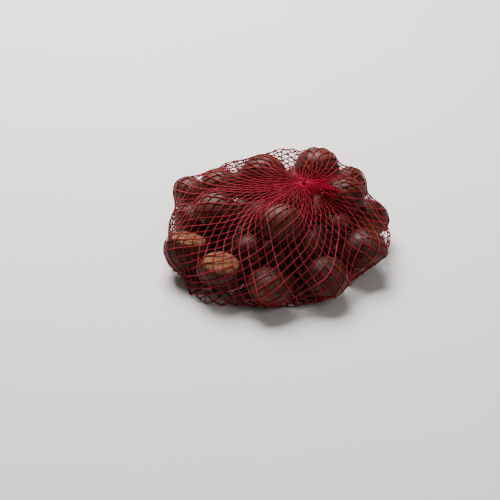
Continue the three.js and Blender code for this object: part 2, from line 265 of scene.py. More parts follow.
@dataclass(frozen=True)
class Slack:
    """A place where the slack net stands off the nuts: an ellipsoid that the net stays out of."""

    at: Triple
    halves: Triple
    step: float = 1.0

    def clear(self, points: np.ndarray) -> None:
        """Moves the points that are inside out by at most one step, in place.

        Args:
            points: Points to move, one a row.
        """
        offset = points - np.array(self.at)
        halves = np.array(self.halves)
        depth = 1 - ((offset / halves) ** 2).sum(1)
        inside = depth > 0
        outward = offset[inside] / halves ** 2
        steepness = np.maximum(np.linalg.norm(outward, axis=1), TINY)
        move = np.minimum(depth[inside] / (2 * steepness), self.step) / steepness
        points[inside] += outward * move[:, None]


@dataclass
class NetLattice:
    """Knots of the tube net, drawn tight over the nuts."""

    layout: NutLayout
    cells_round: int = 56
    cell_side: float = 6.2
    strand_radius: float = 0.36
    over_nut: float = 0.5
    near_widths: float = 0.8
    crown: Triple = (16, 14, 55)
    crown_radius: float = 3.2
    base_gather: Span = (-42, -3)
    base_radius: float = 3.0
    half_width: float = 80
    half_depth: float = 76
    widest_height: float = 18
    section_steps: int = 2000
    widest_side: float = 0.95
    start_spread: float = 1.15
    start_back: float = 6
    start_twist: float = 0.55
    dome_power: float = 0.8
    under_power: float = 0.6
    shrink_rounds: int = 320
    shrink_share: float = 0.16
    length_rounds: int = 2
    slack_stiffness: float = 0.12
    length_share: float = 1.6
    floor_snap: float = 1.3
    slack: tuple[Slack, ...] = (
        Slack((-7, 1, 4), (71, 61, 8)),
        Slack((-38, -33, 3), (27, 24, 7)),
        Slack((6, 57, 39), (22, 13, 14)),
        Slack((-31, 52, 32), (14, 12, 13)),
        Slack((-63, 6, 18), (14.5, 34, 15)),
        Slack((63, 3, 18), (15, 20, 14)),
    )

    def __post_init__(self) -> None:
        """Lays the knots on the rough form and shrinks them onto the nuts."""
        self.rows = self.section_rows()
        self.row_count = len(self.rows)
        self.knots = self.rough_knots()
        self.pairs = self.strand_pairs()
        self.shrink()

    def section(self, share: float) -> Span:
        """Half of the bag's rough upright section.

        Args:
            share: From 0 at the crown to 1 at the middle of the base.

        Returns:
            The radius, from 0 to 1, and the height in millimetres.
        """
        angle = (0.5 - share) * math.pi
        radius = max(math.cos(angle), 0) ** self.dome_power
        if angle > 0:
            return radius, self.widest_height + (self.crown[2] - self.widest_height) * math.sin(angle)
        drop = self.widest_height - self.strand_radius
        return radius, self.widest_height - drop * abs(math.sin(angle)) ** self.under_power

    def section_rows(self) -> list[Span]:
        """Rows of knots down the section, spaced so that every cell side has its true length.

        Returns:
            The radius, from 0 to 1, and the height of each row.
        """
        rows = []
        previous = self.section(0)
        travelled = 0.0
        following = 0.0
        for step in range(1, self.section_steps + 1):
            here = self.section(step / self.section_steps)
            travelled += math.hypot((here[0] - previous[0]) * self.half_depth, here[1] - previous[1])
            radius = here[0] * self.half_depth
            upper = step < self.section_steps / 2
            gathered = radius < (self.crown_radius if upper else self.base_radius)
            if not gathered and travelled >= following:
                sideways = min(math.pi * radius / self.cells_round, self.widest_side * self.cell_side)
                rows.append(here)
                following = travelled + math.sqrt(self.cell_side ** 2 - sideways ** 2)
            previous = here
        return rows

    def rough_knots(self) -> np.ndarray:
        """Knots on the rough form, row by row, every other row turned by half a cell.

        Returns:
            The knots, one a row.
        """
        knots = []
        for row, (radius, height) in enumerate(self.rows):
            gather = self.crown if row < self.row_count / 2 else self.base_gather
            turn = 2 * math.pi * (np.arange(self.cells_round) + 0.5 * (row % 2)) / self.cells_round
            turn = turn + self.start_twist * row / (self.row_count - 1)
            x = (1 - radius) * gather[0] + radius * self.start_spread * self.half_width * np.cos(turn)
            y = (1 - radius) * gather[1] + radius * (
                self.start_back + self.start_spread * self.half_depth * np.sin(turn))
            knots.append(np.stack([x, y, np.full_like(x, height)], 1))
        return np.concatenate(knots)

    def knot(self, row: int, column: int) -> int:
        """Number of the knot at a row and a column, counted on round the bag."""
        return row * self.cells_round + column % self.cells_round

    def strand_pairs(self) -> np.ndarray:
        """Pairs of knots that a strand joins.

        Returns:
            The numbers of the two knots, one pair a row.
        """
        pairs = []
        for row in range(self.row_count - 1):
            shift = -1 if row % 2 == 0 else 1
            for column in range(self.cells_round):
                pairs.append((self.knot(row, column), self.knot(row + 1, column)))
                pairs.append((self.knot(row, column), self.knot(row + 1, column + shift)))
        return np.array(pairs)

    def clear_of_nuts(self, points: np.ndarray, with_slack: bool = True) -> None:
        """Lifts points out of the nuts, out to the slack and off the floor, in place.

        Args:
            points: Points to move, one a row.
            with_slack: Whether the slack places hold the points out too.
        """
        for nut in self.layout.nuts:
            offset = points - nut.centre
            distance = np.linalg.norm(offset, axis=1)
            near = distance < self.near_widths * nut.form.width
            if not near.any():
                continue
            outward = offset[near] / np.maximum(distance[near], TINY)[:, None]
            lack = np.maximum(nut.reach(outward) + self.over_nut - distance[near], 0)
            points[near] += outward * lack[:, None]
        if with_slack:
            for slack in self.slack:
                slack.clear(points)
        points[:, 2] = np.maximum(points[:, 2], self.strand_radius)

    def shrink(self) -> None:
        """Draws the net tight over the nuts, with the first and the last row held."""
        knots = self.knots
        first, second = self.pairs[:, 0], self.pairs[:, 1]
        counts = np.bincount(self.pairs.ravel(), minlength=len(knots))[:, None]
        free = np.ones(len(knots), bool)
        free[: self.cells_round] = False
        free[-self.cells_round:] = False
        for _ in range(self.shrink_rounds):
            sums = np.zeros_like(knots)
            np.add.at(sums, first, knots[second])
            np.add.at(sums, second, knots[first])
            knots[free] += self.shrink_share * (sums / counts - knots)[free]
            for _ in range(self.length_rounds):
                self.keep_lengths(knots, counts, free)
            moved = knots[free]
            self.clear_of_nuts(moved)
            knots[free] = moved
        knots[knots[:, 2] < self.floor_snap, 2] = self.strand_radius

    def keep_lengths(self, knots: np.ndarray, counts: np.ndarray, free: np.ndarray) -> None:
        """Brings the strands back to their length, firmly where stretched and softly where slack.

        Args:
            knots: The knots, moved in place.
            counts: Number of strands at each knot.
            free: Which knots may move.
        """
        first, second = self.pairs[:, 0], self.pairs[:, 1]
        along = knots[second] - knots[first]
        length = np.linalg.norm(along, axis=1)
        excess = (length - self.cell_side) / length
        pull = along * (0.5 * excess * np.where(excess < 0, self.slack_stiffness, 1))[:, None]
        moves = np.zeros_like(knots)
        np.add.at(moves, first, pull)
        np.add.at(moves, second, -pull)
        knots[free] += (moves * self.length_share / counts)[free]

    def middle(self) -> np.ndarray:
        """Middle of the net's box in plan, which lies over the part's origin."""
        low, high = self.knots.min(0), self.knots.max(0)
        return np.array([(low[0] + high[0]) / 2, (low[1] + high[1]) / 2, 0.0])


class Lean(Enum):
    """The two ways that the strands of the net wind down the bag."""

    RIGHT = 1
    LEFT = -1


def to_frame(points: np.ndarray, middle: np.ndarray) -> np.ndarray:
    """Points of the layout, in millimetres, as points of the part's frame, in metres."""
    return (points - middle) * MM


def new_object(name: str, mesh: bpy.types.Mesh, material: bpy.types.Material) -> bpy.types.Object:
    """Makes a scene object from a mesh, with one material.

    Args:
        name: Name of the object.
        mesh: Its mesh.
        material: Its only material.

    Returns:
        The object, in the scene.
    """
    mesh.materials.clear()
    mesh.materials.append(material)
    piece = bpy.data.objects.new(name, mesh)
    bpy.context.scene.collection.objects.link(piece)
    return piece


def mark(mesh: bpy.types.Mesh, name: str, values: np.ndarray) -> None:
    """Stores values on the vertices of a mesh as an attribute.

    Args:
        mesh: The mesh.
        name: Name of the attribute.
        values: For each vertex a number, or a row of three.
    """
    kind, key = ("FLOAT_VECTOR", "vector") if values.ndim == 2 else ("FLOAT", "value")
    attribute = mesh.attributes.new(name, kind, "POINT")
    attribute.data.foreach_set(key, values.astype(np.float32).ravel())


def declare(piece: bpy.types.Object, slot: str) -> None:
    """Ties a finished piece to the CAD body, hides the CAD node, and reports it with its material slot.

    Args:
        piece: The piece.
        slot: Its material slot.
    """
    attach(piece, BODY)
    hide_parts(NODE)
    triangles = sum(len(polygon.vertices) - 2 for polygon in piece.data.polygons)
    LOG.info("%s: %d triangles, slot %s", piece.name, triangles, slot)


@dataclass
class YarnTubes:
    """Turns lines of points into round strands of yarn, in one mesh."""

    sides: int = 8
    # Lowest tone a strand may take; set above 0 it draws the strands lighter, a painted light
    least_tone: float = 0.0
    strand_offset: float = 7.3

    def build(self, name: str, lines: Sequence[Line], middle: np.ndarray,
              material: bpy.types.Material) -> bpy.types.Object:
        """Builds the strands.

        Args:
            name: Name of the piece.
            lines: For each strand its points and its radii, in the layout's millimetres.
            middle: Middle of the bag's box in the layout.
            material: Finish of the yarn.

        Returns:
            The piece, a mesh with the attributes yarn_place and yarn_tone.
        """
        curve = bpy.data.curves.new(name + "_path", "CURVE")
        curve.dimensions = "3D"
        curve.bevel_depth = 1.0
        # A bevel of resolution n has 2 n + 4 sides
        curve.bevel_resolution = self.sides // 2 - 2
        curve.use_fill_caps = False
        curve.twist_mode = "MINIMUM"
        for points, radii in lines:
            spline = curve.splines.new("POLY")
            spline.points.add(len(points) - 1)
            places = to_frame(points, middle)
            with_weight = np.concatenate([places, np.ones((len(places), 1))], 1)
            spline.points.foreach_set("co", with_weight.ravel())
            spline.points.foreach_set("radius", radii * MM)
        holder = bpy.data.objects.new(name + "_path", curve)
        mesh = bpy.data.meshes.new_from_object(holder)
        mesh.name = name
        bpy.data.objects.remove(holder)
        bpy.data.curves.remove(curve)
        self.close_ends(mesh)
        self.mark_places(mesh, lines)
        mesh.shade_smooth()
        return new_object(name, mesh, material)

    def close_ends(self, mesh: bpy.types.Mesh) -> None:
        """Closes the cut ends of the strands, and turns all faces outwards.

        Args:
            mesh: Mesh of the strands, changed in place.
        """
        shaper = bmesh.new()
        shaper.from_mesh(mesh)
        rims = [edge for edge in shaper.edges if edge.is_boundary]
        bmesh.ops.holes_fill(shaper, edges=rims, sides=self.sides)
        bmesh.ops.recalc_face_normals(shaper, faces=shaper.faces)
        shaper.to_mesh(mesh)
        shaper.free()

    def mark_places(self, mesh: bpy.types.Mesh, lines: Sequence[Line]) -> None:
        """Stores on each vertex where it lies round and along its strand, and the strand's tone.

        Each strand is taken to start farther along than the last, so that neighbours differ in twist.

        Args:
            mesh: Mesh of the strands, with a ring of vertices at each point.
            lines: For each strand its points and its radii.
        """
        turn = 2 * math.pi * np.arange(self.sides) / self.sides
        random = np.random.default_rng(len(lines))
        places, tones = [], []
        for number, (points, _) in enumerate(lines):
            steps = np.linalg.norm(np.diff(points, axis=0), axis=1)
            along = np.concatenate([[0.0], np.cumsum(steps)]) + self.strand_offset * number
            place = np.zeros((len(points), self.sides, 3))
            place[..., 0] = np.cos(turn)
            place[..., 1] = np.sin(turn)
            place[..., 2] = along[:, None]
            places.append(place.reshape(-1, 3))
            tones.append(np.full(len(points) * self.sides, random.uniform(self.least_tone, 1)))
        mark(mesh, "yarn_place", np.concatenate(places))
        mark(mesh, "yarn_tone", np.concatenate(tones))


@dataclass
class Net:
    """The net's strands, drawn into pleats at the crown and gathered under the bag.

    A pleat wave is its size, how often it goes round the crown and its shift.
    The tuck is the strand's end as distances from the gather and heights.
    """

    lattice: NetLattice
    tubes: YarnTubes = field(default_factory=YarnTubes)
    steps_a_side: int = 4
    wander: float = 0.55
    sag_share: float = 0.375
    settle_rounds: int = 8
    smooth_share: float = 0.25
    thickness_change: float = 0.08
    knot_swelling: float = 0.3
    knot_steps: float = 0.8
    end_thinning: float = 0.45
    end_thin_rows: float = 4.5
    pleats: int = 34
    pleat_reach: float = 21.0
    pleat_depth: float = 0.85
    pleat_rise: float = 0.5
    pleat_waves: tuple[Triple, ...] = ((1.6, 3, 0), (1.1, 5, 1))
    tuck: tuple[Span, ...] = ((2.2, 0.9), (1.5, 2.0), (1.0, 3.2), (0.8, 4.2))
    seed: int = 7

    def __post_init__(self) -> None:
        """Starts the seeded random numbers."""
        self.random = np.random.default_rng(self.seed)

    def knot_path(self, column: int, lean: Lean) -> np.ndarray:
        """Numbers of the knots down one strand.

        Args:
            column: Column of the knot that it starts from.
            lean: Which way it winds.

        Returns:
            The numbers, from the crown down.
        """
        lattice = self.lattice
        rows = range(lattice.row_count)
        if lean is Lean.RIGHT:
            return np.array([lattice.knot(row, column + row // 2) for row in rows])
        return np.array([lattice.knot(row, column - (row + 1) // 2) for row in rows])

    def strand_line(self, column: int, lean: Lean) -> Line:
        """One strand from the crown to the gather under the bag.

        Args:
            column: Column of the knot that it starts from.
            lean: Which way it winds.

        Returns:
            Its points and its radii, in millimetres.
        """
        knots = self.lattice.knots[self.knot_path(column, lean)]
        place = np.arange((len(knots) - 1) * self.steps_a_side + 1) / self.steps_a_side
        points = self.bowed(knots, place)
        self.pleat(points)
        self.settle(points)
        radii = self.thicknesses(place)
        points[:, 2] = np.maximum(points[:, 2], radii)
        return self.tucked(points, radii)

    def bowed(self, knots: np.ndarray, place: np.ndarray) -> np.ndarray:
        """Runs a strand through its knots, bowed sideways between them where it is slack.

        Args:
            knots: Knots down the strand.
            place: Places along the strand, counted in knots.

        Returns:
            The points at those places.
        """
        row = np.minimum(place.astype(int), len(knots) - 2)
        share = (place - row)[:, None]
        side = knots[row + 1] - knots[row]
        length = np.linalg.norm(side, axis=1)
        spare = np.maximum(self.lattice.cell_side - length, 0)
        # Three eighths of spare length times span is the square of a slack line's sag
        bow = np.sqrt(self.sag_share * spare * length)
        wish = self.random.normal(size=(len(knots) - 1, 3))[row]
        wish = unit(wish - (wish * unit(side)).sum(1, keepdims=True) * unit(side))
        straight = knots[row] * (1 - share) + knots[row + 1] * share
        return straight + wish * (self.wander * bow)[:, None] * np.sin(math.pi * share)

    def pleat(self, points: np.ndarray) -> None:
        """Draws the strands round the crown together into uneven pleats, in place.

        Args:
            points: Points of one strand.
        """
        crown = np.array(self.lattice.crown)
        offset = points[:, :2] - crown[:2]
        radius = np.linalg.norm(offset, axis=1)
        turn = np.arctan2(offset[:, 1], offset[:, 0])
        wave = self.pleats * turn
        pace = np.full_like(turn, self.pleats)
        for size, times, shift in self.pleat_waves:
            wave = wave + size * np.sin(times * turn + shift)
            pace = pace + size * times * np.cos(times * turn + shift)
        share = np.exp(-((radius / self.pleat_reach) ** 2)) * (points[:, 2] > self.lattice.widest_height)
        turn -= share * self.pleat_depth * np.sin(wave) / pace
        points[:, 0] = crown[0] + radius * np.cos(turn)
        points[:, 1] = crown[1] + radius * np.sin(turn)
        points[:, 2] += share * self.pleat_rise * np.cos(wave)

    def settle(self, points: np.ndarray) -> None:
        """Smooths a strand between its knots and keeps it out of the nuts, in place.

        Args:
            points: Points of the strand.
        """
        fixed = points[::self.steps_a_side].copy()
        for _ in range(self.settle_rounds):
            inner = points[1:-1]
            inner += self.smooth_share * ((points[:-2] + points[2:]) / 2 - inner)
            points[::self.steps_a_side] = fixed
            self.lattice.clear_of_nuts(points, with_slack=False)

    def thicknesses(self, place: np.ndarray) -> np.ndarray:
        """Radii of a strand, swollen at the knots and thinner towards both gathers.

        Args:
            place: Places along the strand, counted in knots.

        Returns:
            The radius at each place, in millimetres.
        """
        from_knot = np.abs(place - np.round(place)) * self.steps_a_side
        radii = np.full(len(place), self.lattice.strand_radius)
        radii *= 1 + self.knot_swelling * np.exp(-((from_knot / self.knot_steps) ** 2))
        radii *= 1 + self.thickness_change * self.random.normal(size=len(place))
        from_end = np.minimum(place, place[-1] - place) / self.end_thin_rows
        return radii * (1 - self.end_thinning * np.exp(-(from_end ** 2)))

    def tucked(self, points: np.ndarray, radii: np.ndarray) -> Line:
        """Adds the end of a strand that is gathered and tucked up under the bag.

        Args:
            points: Points of the strand.
            radii: Its radii.

        Returns:
            The points and the radii with those of the tucked end.
        """
        gather = np.array(self.lattice.base_gather)
        outward = unit(points[-1, :2] - gather)
        ends = np.array([(*(gather + outward * radius), height) for radius, height in self.tuck])
        return np.concatenate([points, ends]), np.concatenate([radii, np.full(len(ends), radii[-1])])

    def build(self, material: bpy.types.Material) -> list[bpy.types.Object]:
        """Builds the two families of strands.

        Args:
            material: Finish of the yarn.

        Returns:
            One piece for each family.
        """
        pieces = []
        middle = self.lattice.middle()
        for lean in Lean:
            lines = [self.strand_line(column, lean) for column in range(self.lattice.cells_round)]
            name = f"net_{lean.name.lower()}_strands"
            pieces.append(self.tubes.build(name, lines, middle, material))
        return pieces


@dataclass
class Tail:
    """Loose end of the net beyond the crown: the strands run through the gather and fan out."""

    lattice: NetLattice
    # The tail's strands take only the upper part of the tone range, a painted light: the same yarn as the
    # net, drawn lighter as if brightly lit
    tubes: YarnTubes = field(default_factory=lambda: YarnTubes(sides=6, least_tone=0.45))
    path: tuple[Triple, ...] = (
        (16, 14, 53.5), (17, 13.8, 56.4), (21, 13.0, 56.8), (27, 12.0, 56.0), (34, 10.6, 54.2), (42, 8.8, 52))
    half_widths: tuple[float, ...] = (1.4, 1.7, 5.0, 8.5, 11.5, 14.0)
    count: int = 160
    sideways: float = 0.46
    lean: float = -0.10
    strand_radius: float = 0.24
    thickness_change: float = 0.12
    stations: int = 26
    rise_share: float = 0.15
    settle_share: float = 0.3
    weave: float = 0.10
    weave_waves: Span = (5, 12)
    shortest: float = 0.42
    side_trim: float = 0.25
    over_net: float = 0.6
    net_reach: float = 4.0
    binding_turns: int = 3
    binding_steps: int = 24
    binding_place: float = 0.16
    binding_radius: float = 1.7
    binding_yarn: float = 0.32
    seed: int = 11

    def __post_init__(self) -> None:
        """Starts the seeded random numbers."""
        self.random = np.random.default_rng(self.seed)

    def spine(self, share: np.ndarray) -> Line:
        """Points and directions of the tail's upper middle line, a smooth curve through its path.

        Args:
            share: Places from 0 at the gather to 1 at the far end.

        Returns:
            The points and the unit directions there.
        """
        knots = np.array(self.path, float)
        place = share * (len(knots) - 1)
        step = np.clip(place.astype(int), 0, len(knots) - 2)
        t = (place - step)[:, None]
        before = knots[np.maximum(step - 1, 0)]
        here = knots[step]
        after = knots[step + 1]
        beyond = knots[np.minimum(step + 2, len(knots) - 1)]
        slope = after - before
        bend = 2 * before - 5 * here + 4 * after - beyond
        twist = -before + 3 * here - 3 * after + beyond
        points = 0.5 * (2 * here + slope * t + bend * t ** 2 + twist * t ** 3)
        return points, unit(0.5 * (slope + 2 * bend * t + 3 * twist * t ** 2))

    def net_height(self, points: np.ndarray) -> np.ndarray:
        """Height of the net's upper side over places in plan.

        Args:
            points: The places, one a row.

        Returns:
            The mean height of the knots near each place, in millimetres.
        """
        knots = self.lattice.knots[: len(self.lattice.knots) // 2]
        gap = np.linalg.norm(points[:, None, :2] - knots[None, :, :2], axis=2)
        weight = np.exp(-((gap / self.net_reach) ** 2)) + TINY
        return (weight * knots[:, 2]).sum(1) / weight.sum(1)

    def line(self, number: int) -> Line:
        """One strand, from its knot round the crown to its cut end.

        Args:
            number: Number of the strand.

        Returns:
            Its points and its radii, in millimetres.
        """
        knot = self.lattice.knots[number % self.lattice.cells_round]
        side = float(np.clip(self.random.normal(self.lean, self.sideways), -1, 1))
        lift = float(self.random.uniform(0, 1)) * (1 - side * side)
        reach = self.random.uniform(self.shortest, 1.0) * (1 - self.side_trim * side * side)
        share = np.linspace(0, reach, self.stations)
        points, ahead = self.spine(share)
        wide = unit(np.cross(UP, ahead))
        half = np.interp(share, np.linspace(0, 1, len(self.half_widths)), self.half_widths)
        sway = self.weave * np.sin(share * self.random.uniform(*self.weave_waves) + number)
        points = points + wide * (half * (side + sway * share))[:, None]
        low = np.minimum(self.net_height(points) + self.over_net, points[:, 2])
        settle = np.clip(share / self.settle_share, 0, 1) * (1 - lift)
        points[:, 2] += (low - points[:, 2]) * settle
        rise = np.clip(share / self.rise_share, 0, 1)[:, None]
        rise = rise * rise * (3 - 2 * rise)
        points = knot * (1 - rise) + points * rise
        radii = self.strand_radius * (1 + self.thickness_change * self.random.normal(size=len(points)))
        return points, radii

    def binding(self) -> Line:
        """Turns of yarn round the gather.

        Returns:
            Their points and radii, in millimetres.
        """
        turn = 2 * math.pi * np.arange(self.binding_steps * self.binding_turns + 1) / self.binding_steps
        middle, ahead = self.spine(np.full(len(turn), self.binding_place))
        wide = unit(np.cross(UP, ahead))
        high = np.cross(ahead, wide)
        along = self.binding_yarn * (turn / math.pi - self.binding_turns)
        points = middle + self.binding_radius * (
            wide * np.cos(turn)[:, None] + high * np.sin(turn)[:, None]) + ahead * along[:, None]
        return points, np.full(len(points), self.binding_yarn)

    def build(self, material: bpy.types.Material) -> bpy.types.Object:
        """Builds the tail with its binding.

        Args:
            material: Finish of the yarn.

        Returns:
            The piece.
        """
        lines = [self.line(number) for number in range(self.count)]
        lines.append(self.binding())
        return self.tubes.build("net_tail", lines, self.lattice.middle(), material)


@dataclass
class Chestnuts:
    """Builds nuts as real meshes, with a little relief on their shells."""

    middle: np.ndarray
    segments: int = 72
    rings: int = 44
    shift_range: float = 20.0
    lump: float = 0.22
    lump_waves: Triple = (3.1, 2.7, 4.3)
    second_lump: float = 0.6
    second_lean: float = 2.2
    pleat: float = 0.07
    pleats: int = 26
    pleat_start: float = 0.35
    pleat_fade: float = 0.5
    tip_fade: float = 0.05
    seed: int = 5

    def build(self, name: str, nuts: Sequence[Nut], material: bpy.types.Material) -> bpy.types.Object:
        """Builds a group of nuts.

        Args:
            name: Name of the piece.
            nuts: The nuts of the group.
            material: Finish of the shell and its scar.

        Returns:
            The piece, with the attributes nut_place and nut_tone.
        """
        ball = bmesh.new()
        bmesh.ops.create_uvsphere(ball, u_segments=self.segments, v_segments=self.rings, radius=1.0)
        directions = unit(np.array([vert.co for vert in ball.verts]))
        one = bpy.data.meshes.new("one_nut")
        ball.to_mesh(one)
        ball.free()
        shaper = bmesh.new()
        random = np.random.default_rng(self.seed + len(nuts))
        places, spots, tones = [], [], []
        for nut in nuts:
            shaper.from_mesh(one)
            tone = float(random.uniform(0, 1))
            local = directions * (nut.form.reach(directions) + self.relief(directions, tone))[:, None]
            places.append(to_frame(local * nut.size @ nut.axes + nut.centre, self.middle))
            spots.append(local / nut.form.half_width)
            tones.append(np.full(len(local), tone))
        mesh = bpy.data.meshes.new(name)
        shaper.to_mesh(mesh)
        shaper.free()
        bpy.data.meshes.remove(one)
        mesh.vertices.foreach_set("co", np.concatenate(places).astype(np.float32).ravel())
        mark(mesh, "nut_place", np.concatenate(spots))
        mark(mesh, "nut_tone", np.concatenate(tones))
        mesh.shade_smooth()
        mesh.update()
        return new_object(name, mesh, material)

    def relief(self, direction: np.ndarray, tone: float) -> np.ndarray:
        """Low lumps all over and fine pleats towards the tip.

        Args:
            direction: Unit directions in the nut's own axes.
            tone: The nut's own number, from 0 to 1.

        Returns:
            The height of the relief along each direction, in millimetres.
        """
        x, y, z = direction[:, 0], direction[:, 1], direction[:, 2]
        wave_x, wave_y, wave_z = self.lump_waves
        shift = self.shift_range * tone
        second = np.sin(wave_z * z + self.second_lean * x + shift)
        lumps = np.sin(wave_x * x + shift) * np.cos(wave_y * y - shift) + self.second_lump * second
        turn = np.arctan2(y, x)
        near_tip = np.clip((z - self.pleat_start) / self.pleat_fade, 0, 1)
        near_tip *= np.clip((1 - z) / self.tip_fade, 0, 1)
        return self.lump * lumps + self.pleat * near_tip * np.cos(self.pleats * turn)


class Wiring:
    """Short ways to add and join shader nodes in one material."""

    def __init__(self, name: str) -> None:
        """Makes a material with a Principled shader.

        Args:
            name: Name of the material.
        """
        self.material = bpy.data.materials.new(name)
        self.material.use_nodes = True
        self.tree = self.material.node_tree
        self.tree.nodes.clear()
        self.shader = self.tree.nodes.new("ShaderNodeBsdfPrincipled")
        output = self.tree.nodes.new("ShaderNodeOutputMaterial")
        self.join(self.shader.outputs["BSDF"], output.inputs["Surface"])

    def join(self, source: Socket, target: Socket) -> None:
        """Links two sockets."""
        self.tree.links.new(source, target)

    def node(self, kind: str, inputs: dict[object, object], output: object = 0,
             **settings: object) -> Socket:
        """Adds a node.

        Args:
            kind: Type of the node, without the ShaderNode that it starts with.
            inputs: Sockets to link or plain values to set, by name or number of the input.
            output: Name or number of the output.
            settings: The node's own properties.

        Returns:
            The output socket.
        """
        node = self.tree.nodes.new("ShaderNode" + kind)
        for name, setting in settings.items():
            setattr(node, name, setting)
        for key, value in inputs.items():
            if isinstance(value, Socket):
                self.join(value, node.inputs[key])
            else:
                node.inputs[key].default_value = value
        return node.outputs[output]

    def attribute(self, name: str, output: str) -> Socket:
        """Reads an attribute of the mesh."""
        return self.node("Attribute", {}, output, attribute_name=name)

    def object_place(self) -> Socket:
        """Reads the place in the object's own axes."""
        return self.node("TexCoord", {}, "Object")

    def math(self, operation: str, *values: object) -> Socket:
        """Adds a Math node."""
        return self.node("Math", dict(enumerate(values)), operation=operation)

    def weigh(self, *terms: tuple[Socket, float]) -> Socket:
        """Adds up values, each times its weight.

        Args:
            terms: Each value with its weight.

        Returns:
            The sum.
        """
        total, *others = [self.math("MULTIPLY", value, weight) for value, weight in terms]
        for other in others:
            total = self.math("ADD", total, other)
        return total

    def vector(self, operation: str, *values: object) -> Socket:
        """Adds a Vector Math node that gives a vector."""
        return self.node("VectorMath", dict(enumerate(values)), operation=operation)

    def length(self, vector: Socket) -> Socket:
        """Length of a vector."""
        return self.node("VectorMath", {0: vector}, "Value", operation="LENGTH")

    def parts(self, vector: Socket) -> tuple[Socket, ...]:
        """Splits a vector into x, y and z."""
        return tuple(self.node("SeparateXYZ", {0: vector}).node.outputs)

    def combine(self, x: object, y: object, z: object) -> Socket:
        """Joins x, y and z to a vector."""
        return self.node("CombineXYZ", {0: x, 1: y, 2: z})

    def noise(self, vector: Socket, scale: float, detail: float = 2.0, roughness: float = 0.5) -> Socket:
        """Adds a Noise texture and gives its grey value."""
        inputs = {"Vector": vector, "Scale": scale, "Detail": detail, "Roughness": roughness}
        return self.node("TexNoise", inputs, "Fac")

    def ramp(self, value: Socket, places: Sequence[float], colours: Sequence[Triple]) -> Socket:
        """Adds a Color Ramp.

        Args:
            value: Value to look up.
            places: Where on the ramp the colours are.
            colours: The colours, as many as places.

        Returns:
            The colour there.
        """
        result = self.node("ValToRGB", {0: value}, "Color")
        elements = result.node.color_ramp.elements
        while len(elements) < len(places):
            elements.new(0.5)
        for element, place, colour in zip(elements, places, colours):
            element.position = place
            element.color = (*colour, 1.0)
        return result

    def span(self, value: object, low: float, high: float, to_low: float = 0.0,
             to_high: float = 1.0) -> Socket:
        """Maps a value from one range to another, held at the ends."""
        inputs = {"Value": value, "From Min": low, "From Max": high, "To Min": to_low, "To Max": to_high}
        return self.node("MapRange", inputs, "Result")

    def mix(self, share: object, a: object, b: object) -> Socket:
        """Mixes two colours, each a socket or three numbers."""
        a, b = (colour if isinstance(colour, Socket) else (*colour, 1.0) for colour in (a, b))
        return self.node("Mix", {0: share, 6: a, 7: b}, 2, data_type="RGBA")

    def bump(self, height: Socket, distance: float, strength: float = 1.0,
             base: Optional[Socket] = None) -> Socket:
        """Adds a Bump node.

        Args:
            height: Height of the relief, as a share of the distance.
            distance: What a height of 1 stands for, in metres.
            strength: Share of the relief that shows.
            base: Normal that it starts from, if not the surface's own.

        Returns:
            The bumped normal.
        """
        inputs = {"Height": height, "Distance": distance, "Strength": strength}
        if base is not None:
            inputs["Normal"] = base
        return self.node("Bump", inputs, "Normal")

    def surface(self, **sockets: Socket) -> None:
        """Links sockets to the shader's inputs, named with _ for a space."""
        for name, socket in sockets.items():
            self.join(socket, self.shader.inputs[name.replace("_", " ")])

    def set(self, **values: float) -> None:
        """Sets plain numbers on the shader's own sockets, named with _ for a space."""
        for name, value in values.items():
            self.shader.inputs[name.replace("_", " ")].default_value = value


